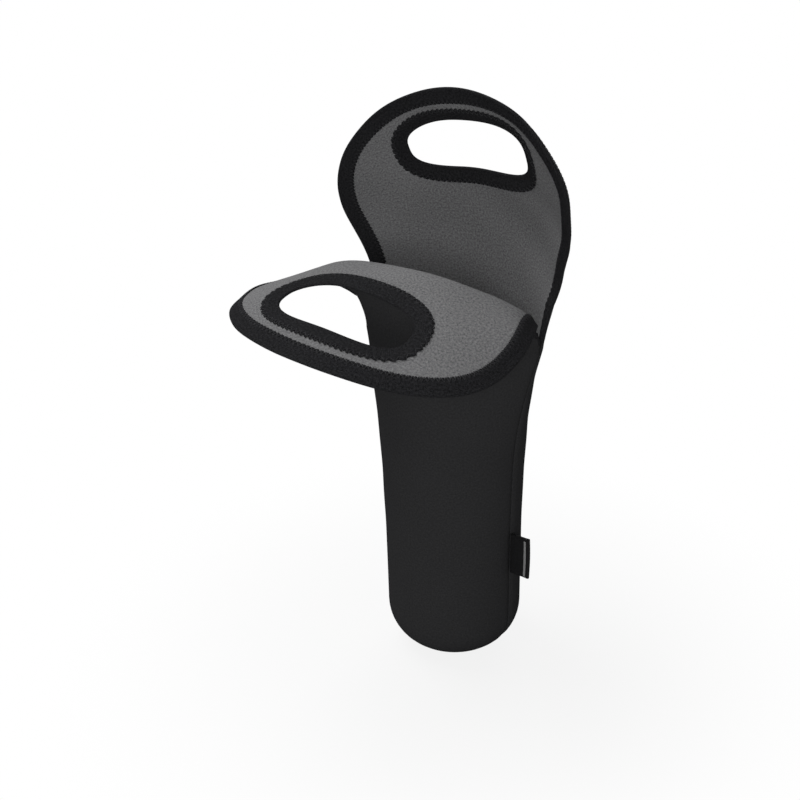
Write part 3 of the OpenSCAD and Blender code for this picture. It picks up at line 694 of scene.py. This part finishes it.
def label_piece(name):
    """The side label: a ribbon folded into a hairpin about the Z axis, bowed a little along its height.

    The hairpin is two straight legs and half a circle, wider near the fold by a bell curve. The bow is
    half a sine wave up the label, times the square of the way out.
    """
    low, high = (np.array(corner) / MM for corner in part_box("side_label"))
    half = (high[1] - low[1]) / 2 - LABEL_T / 2
    leg = np.linspace(low[0], high[0] - half - LABEL_T / 2, LABEL_LEG_POINTS)
    turn = np.linspace(math.pi / 2, -math.pi / 2, LABEL_TURN_POINTS)[1:-1]
    x = np.concatenate([leg, leg[-1] + half * np.cos(turn), leg[::-1]])
    y = np.concatenate([np.full(len(leg), half), half * np.sin(turn), np.full(len(leg), -half)])
    swell = 1 + LABEL_SWELL * np.exp(-((x - leg[-1]) / (LABEL_SWELL_REACH * half)) ** 2)
    path = pairs(x, y * swell)
    z = np.linspace(low[2], high[2], LABEL_ROWS)[:, None]
    t = (z - low[2]) / (high[2] - low[2])
    bow = LABEL_BOW * np.sin(math.pi * t) * ((x - low[0]) / (high[0] - low[0])) ** 2
    layers = []
    for offset in (LABEL_T / 2, -LABEL_T / 2):
        face = path + offset * left_of(path, False)
        layers.append(np.stack(np.broadcast_arrays(face[:, 0], face[:, 1] + bow, z), -1).reshape(-1, 3))
    rows, cols = bow.shape
    n = rows * cols
    outer = grid_faces(rows, cols)
    left, bottom = np.arange(rows - 1) * cols, np.arange(cols - 1)
    right, top = left + cols - 1, bottom + (rows - 1) * cols
    faces = np.concatenate([outer, outer[:, ::-1] + n, rim_faces(bottom + 1, bottom, n),
                            rim_faces(top, top + 1, n), rim_faces(left, left + cols, n),
                            rim_faces(right + cols, right, n)])
    along = way_along(pairs(x, y))
    uv = pairs(along - along[-1] / 2, z - low[2]).reshape(-1, 2)
    return mesh_object(name, np.concatenate(layers), faces, np.concatenate([uv, uv]))


def srgb(code):
    """The linear colour of an sRGB hex code."""
    c = np.array([int(code[k:k + 2], 16) for k in (0, 2, 4)]) / 255
    linear = np.where(c <= 0.04045, c / 12.92, ((c + 0.055) / 1.055) ** 2.4)
    return (*linear.tolist(), 1.0)


def add(tree, kind, settings=(), links=()):
    """Adds a node, sets its fields and unlinked sockets, and links outputs to its other sockets."""
    node = tree.nodes.new(kind)
    for key, value in dict(settings).items():
        if isinstance(key, int) or key in node.inputs:
            node.inputs[key].default_value = value
        else:
            setattr(node, key, value)
    for key, source in dict(links).items():
        tree.links.new(source, node.inputs[key])
    return node


# Broad mottling of the cloth: its size in millimetres and its weight beside the flecks, and the mean of
# their sum
BROAD_MM, BROAD_SHARE, FLECK_MEAN = 38, 0.08, 0.54
# The scale at which a wave texture has one band to each unit, and how far the bands wander
BAND_SCALE, BAND_WANDER = 0.31, 1.2


def cloth_material(name, dark, light, pitch, bump, fleck_mm, roughness=0.95, spread=0.18, gloss=0.1):
    """Knit: courses and wales as two crossed waves at a real pitch, over flecks of darker and lighter yarn.

    bump is the strength of its relief, and spread is how far the flecks run on each side of their mean.
    """
    material = bpy.data.materials.new(name)
    material.use_nodes = True
    tree = material.node_tree
    shader = tree.nodes["Principled BSDF"]
    uv = add(tree, "ShaderNodeUVMap", {"uv_map": "Cloth"}).outputs["UV"]
    yarn = add(tree, "ShaderNodeMapping", {"Scale": (1 / pitch, 1 / pitch, 1)},
               {"Vector": uv}).outputs["Vector"]
    flecks = add(tree, "ShaderNodeTexNoise", {"Scale": 1 / fleck_mm, "Detail": 4.0, "Roughness": 0.75},
                 {"Vector": uv}).outputs["Fac"]
    broad = add(tree, "ShaderNodeTexNoise", {"Scale": 1 / BROAD_MM, "Detail": 2.0},
                {"Vector": uv}).outputs["Fac"]
    mixed = add(tree, "ShaderNodeMath", {"operation": "MULTIPLY_ADD", 1: BROAD_SHARE}, {0: broad, 2: flecks})
    ramp = add(tree, "ShaderNodeValToRGB", links={"Fac": mixed.outputs[0]})
    low, high = ramp.color_ramp.elements
    low.position, low.color = FLECK_MEAN - spread, srgb(dark)
    high.position, high.color = FLECK_MEAN + spread, srgb(light)
    wales, courses = (
        add(tree, "ShaderNodeTexWave", {"bands_direction": direction, "Scale": BAND_SCALE,
                                        "Distortion": BAND_WANDER, "Detail": 1.0}, {"Vector": yarn})
        for direction in ("X", "Y"))
    knit = add(tree, "ShaderNodeMath", {"operation": "MULTIPLY"},
               {0: wales.outputs["Fac"], 1: courses.outputs["Fac"]})
    height = add(tree, "ShaderNodeMath", {"operation": "ADD"}, {0: knit.outputs[0], 1: flecks})
    relief = add(tree, "ShaderNodeBump", {"Strength": bump, "Distance": pitch * MM},
                 {"Height": height.outputs[0]})
    tree.links.new(relief.outputs["Normal"], shader.inputs["Normal"])
    tree.links.new(ramp.outputs["Color"], shader.inputs["Base Color"])
    shader.inputs["Roughness"].default_value = roughness
    shader.inputs["Specular IOR Level"].default_value = gloss
    return material


def label_material(name):
    """Woven ribbon: fine ribs across it and a plain pale thread line on each leg, near the fold."""
    material = cloth_material(name, "151516", "202021", pitch=0.5, bump=0.5, fleck_mm=0.6, roughness=0.7)
    tree = material.node_tree
    colour = tree.nodes["Principled BSDF"].inputs["Base Color"]
    weave = colour.links[0].from_socket
    uv = add(tree, "ShaderNodeUVMap", {"uv_map": "Cloth"}).outputs["UV"]
    along, up, _ = add(tree, "ShaderNodeSeparateXYZ", links={"Vector": uv}).outputs
    away = add(tree, "ShaderNodeMath", {"operation": "ABSOLUTE"}, {0: along}).outputs[0]
    near = add(tree, "ShaderNodeMath", {"operation": "COMPARE", 1: LABEL_LINE_AT, 2: LABEL_LINE_W / 2},
               {0: away}).outputs[0]
    within = add(tree, "ShaderNodeMath", {"operation": "COMPARE", 1: LABEL_LINE_MID, 2: LABEL_LINE_LEN / 2},
                 {0: up}).outputs[0]
    line = add(tree, "ShaderNodeMath", {"operation": "MULTIPLY"}, {0: near, 1: within}).outputs[0]
    mix = add(tree, "ShaderNodeMix", {"data_type": "RGBA", 7: srgb("8d8d8d")}, {"Factor": line, 6: weave})
    tree.links.new(mix.outputs[2], colour)
    return material


# Jersey knit laminated to foam: matte black, with hardly any gloss
outer_knit = cloth_material("black_jersey_knit", "2b2b2c", "363637", pitch=0.7, bump=0.12, fleck_mm=1.1,
                            gloss=0.0)
# Closed-cell foam rubber: dull black, only seen at a cut edge
foam_core = cloth_material("black_cell_foam", "1a1a1a", "242424", pitch=0.9, bump=0.4, fleck_mm=0.5)
# Heather jersey: grey and pale fibres spun together, so it is mottled
lining_knit = cloth_material("grey_heather_knit", "4a4a4b", "8c8c8d", pitch=0.9, bump=0.12, fleck_mm=1.1,
                             spread=0.2)
# Rib-knit binding tape, a little darker and rougher than the panels
binding_tape = cloth_material("black_rib_tape", "141415", "323234", pitch=0.8, bump=0.5, fleck_mm=1.1,
                              spread=0.17, gloss=0.03)
# Twisted polyester sewing thread, with a dull sheen
sewing_thread = cloth_material("black_twisted_thread", "242426", "3e3e40", pitch=0.35, bump=0.6, fleck_mm=0.5,
                               roughness=0.6)
# Woven polyester ribbon: almost black, with fine ribs and a little more shine than the knit
label_ribbon = label_material("black_woven_ribbon")

# The layers of a panel: slot, height of the inner face, height of the outer face, and finish
LAYERS = {"knit": ("outer_knit", FOAM_H, KNIT_H, outer_knit),
          "foam": ("foam_core", -FOAM_H, FOAM_H, foam_core),
          "lining": ("lining_knit", -LINING_H, -FOAM_H, lining_knit)}


def dress(piece, material, nodes):
    """Gives a cloth piece its finish, bakes its place into its mesh and hides the CAD nodes that it stands
    for.
    """
    piece.data.materials.append(material)
    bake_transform(piece)
    if nodes:
        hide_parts(*nodes)


for is_front in (True, False):
    side, bend = SIDES[is_front], BENDS[is_front]
    for layer, (slot_name, low_h, high_h, finish) in LAYERS.items():
        panel = cloth_layer(f"{side}_panel_{layer}", low_h, high_h, is_front)
        cad_nodes = [f"{side}_{part}_{layer}" for part in ("body", bend, "handle")]
        dress(panel, finish, cad_nodes)
    edge_tape = tape_piece(f"{side}_edge_tape", edge_line(TAPE_PITCH), is_front, closed=False)
    dress(edge_tape, binding_tape,
          [f"{side}_{bend}_binding", f"{side}_edge_binding"])
    hole_tape = tape_piece(f"{side}_hole_tape", hole_line(TAPE_PITCH), is_front, closed=True)
    dress(hole_tape, binding_tape, [f"{side}_hole_binding"])
    # The CAD stitching is that of the inside
    for face, out in (("inside", -1), ("outside", 1)):
        for place, curve, loop in (("edge", edge_line, False), ("hole", hole_line, True)):
            stitching = zigzag_piece(f"{side}_{place}_zigzag_{face}", curve, is_front, loop, out)
            stands_for = [f"{side}_{place}_thread"] if out < 0 else []
            dress(stitching, sewing_thread, stands_for)

seam = seam_thread_piece("seam_zigzag")
seam.data.materials.append(sewing_thread)
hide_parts("seam_thread")
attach(seam, BODY)

label = label_piece("side_ribbon")
label.data.materials.append(label_ribbon)
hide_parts("side_label")
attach(label, BODY)

# The floor's half width, the reach of its shadow, where it is wholly white and how white it is at the
# object, all in metres but the last
FLOOR_HALF, SHADOW_R, WHITE_R, WHITE_SHARE = 25.0, 0.06, 0.26, 0.86


def white_card(name):
    """White card. To the camera it is mostly even white, wholly so away from the object, and it keeps the
    contact shadow near the object."""
    material = bpy.data.materials.new(name)
    material.use_nodes = True
    tree = material.node_tree
    card = tree.nodes["Principled BSDF"]
    card.inputs["Base Color"].default_value = srgb("d9d9d9")
    card.inputs["Roughness"].default_value = 0.9
    card.inputs["Specular IOR Level"].default_value = 0.0
    place = add(tree, "ShaderNodeTexCoord").outputs["Object"]
    away = add(tree, "ShaderNodeVectorMath", {"operation": "LENGTH"}, {"Vector": place}).outputs["Value"]
    white = add(tree, "ShaderNodeMapRange",
                {"From Min": SHADOW_R, "From Max": WHITE_R, "To Min": WHITE_SHARE, "To Max": 1.0,
                 "interpolation_type": "SMOOTHSTEP"}, {"Value": away}).outputs["Result"]
    camera_ray = add(tree, "ShaderNodeLightPath").outputs["Is Camera Ray"]
    seen = add(tree, "ShaderNodeMath", {"operation": "MULTIPLY"}, {0: white, 1: camera_ray}).outputs[0]
    even = add(tree, "ShaderNodeEmission", {"Color": (1.0, 1.0, 1.0, 1.0), "Strength": 1.0})
    both = add(tree, "ShaderNodeMixShader",
               links={"Fac": seen, 1: card.outputs["BSDF"], 2: even.outputs["Emission"]})
    tree.links.new(both.outputs["Shader"], tree.nodes["Material Output"].inputs["Surface"])
    return material


floor_corners = [(x * FLOOR_HALF, y * FLOOR_HALF, 0) for x, y in ((-1, -1), (1, -1), (1, 1), (-1, 1))]
floor_mesh = bpy.data.meshes.new("floor")
floor_mesh.from_pydata(floor_corners, [], [(0, 1, 2, 3)])
floor_mesh.materials.append(white_card("white_card"))
floor = bpy.data.objects.new("floor", floor_mesh)
bpy.context.scene.collection.objects.link(floor)

# The strength of the world's light on the object
WORLD_LIGHT = 0.15


def studio_world(name):
    """A plain world that is white to the camera and gives a dimmer light to everything else."""
    world = bpy.data.worlds.new(name)
    world.use_nodes = True
    tree = world.node_tree
    background = tree.nodes["Background"]
    background.inputs["Color"].default_value = (1, 1, 1, 1)
    camera_ray = add(tree, "ShaderNodeLightPath").outputs["Is Camera Ray"]
    strength = add(tree, "ShaderNodeMapRange",
                   {"From Min": 0.0, "From Max": 1.0, "To Min": WORLD_LIGHT, "To Max": 1.0},
                   {"Value": camera_ray})
    tree.links.new(strength.outputs["Result"], background.inputs["Strength"])
    return world


def lamp(name, place, size, power_w):
    """A square area lamp at a place in metres, pointed at the object's middle."""
    data = bpy.data.lights.new(name, "AREA")
    data.size, data.energy = size, power_w
    o = bpy.data.objects.new(name, data)
    bpy.context.scene.collection.objects.link(o)
    middle = Vector((cad_low + cad_high) / 2)
    o.location = place
    o.rotation_euler = (middle - Vector(place)).to_track_quat("-Z", "Y").to_euler()


# Soft studio light: the world, and three wide lamps
bpy.context.scene.world = studio_world("studio")
lamp("top_lamp", place=(-0.7, -0.1, 1.4), size=1.0, power_w=17)
lamp("camera_side_lamp", place=(0.7, -1.2, 0.6), size=0.5, power_w=8)
lamp("back_lamp", place=(-0.5, 1.3, 0.6), size=0.9, power_w=9)

# The camera, fitted to the photograph: its place round the object in metres, its turn and its focal length
CAMERA_AWAY, CAMERA_UP, CAMERA_ROUND = 0.551, 0.409, math.radians(35)
PITCH, HEADING, ROLL = math.radians(24.31), math.radians(-3.11), math.radians(-1.75)
FOCAL_PX, PICTURE_PX, SENSOR_MM = 1059.44, 800, 36.0


def aimed_camera(name):
    """The camera at its place, with its axes worked out from heading, pitch and roll in turn."""
    data = bpy.data.cameras.new(name)
    data.sensor_width = SENSOR_MM
    data.lens = FOCAL_PX / PICTURE_PX * SENSOR_MM
    ahead = np.array([math.sin(HEADING), math.cos(HEADING), 0])
    aside = np.array([math.cos(HEADING), -math.sin(HEADING), 0])
    up = np.array([0, 0, 1])
    forward = math.cos(PITCH) * ahead - math.sin(PITCH) * up
    over = math.sin(PITCH) * ahead + math.cos(PITCH) * up
    right = math.cos(ROLL) * aside + math.sin(ROLL) * over
    top = math.cos(ROLL) * over - math.sin(ROLL) * aside
    turn = np.array([[math.cos(CAMERA_ROUND), -math.sin(CAMERA_ROUND), 0],
                     [math.sin(CAMERA_ROUND), math.cos(CAMERA_ROUND), 0], [0, 0, 1]])
    matrix = np.eye(4)
    matrix[:3, :3] = turn @ np.stack([right, top, -forward], -1)
    matrix[:3, 3] = turn @ np.array([0, -CAMERA_AWAY, CAMERA_UP])
    o = bpy.data.objects.new(name, data)
    bpy.context.scene.collection.objects.link(o)
    o.matrix_world = Matrix(matrix.tolist())
    return o


bpy.context.scene.camera = aimed_camera("camera")
bpy.context.scene.view_settings.view_transform = "Standard"
